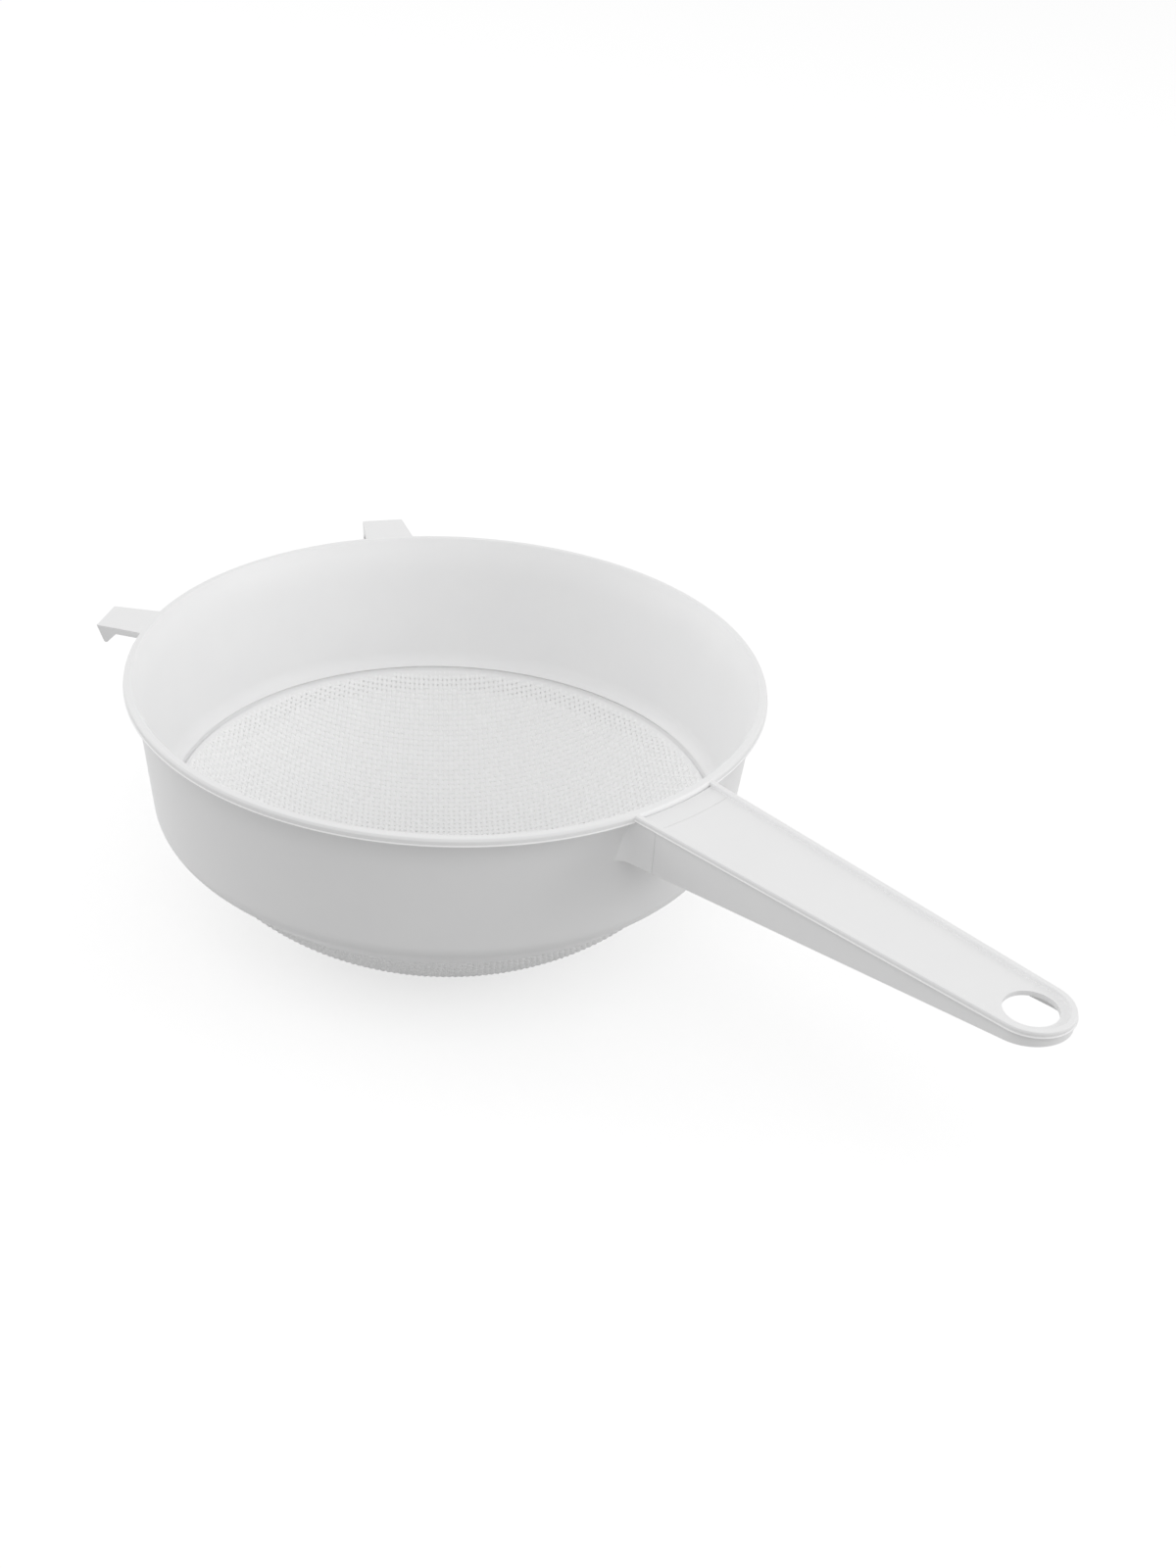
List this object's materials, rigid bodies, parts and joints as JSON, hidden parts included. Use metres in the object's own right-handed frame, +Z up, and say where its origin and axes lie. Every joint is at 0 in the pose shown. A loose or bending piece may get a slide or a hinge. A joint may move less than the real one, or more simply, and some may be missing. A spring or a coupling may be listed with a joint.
{
  "type": "hand strainer",
  "caption": "Drum-shaped plastic hand strainer with a woven mesh bowl, a long channel handle with a hang hole, and hooks that rest it on a pot or bowl.",
  "frame": {"origin": "on the basket's axis, at the flat bottom of the woven bowl", "axes": "+Z up along the basket's axis, +X out along the handle"},
  "size_m": [0.3366, 0.2, 0.0866],
  "materials": {
    "moulding": "satin white",
    "cloth": "woven white monofilament"
  },
  "bodies": {
    "root": {"rim": "moulding", "basket_wall": "moulding", "mesh_seat": "moulding", "handle_shell": "moulding", "handle_lip": "moulding", "left_hook": "moulding", "right_hook": "moulding", "mesh_net": "cloth"}
  },
  "joints": []
}
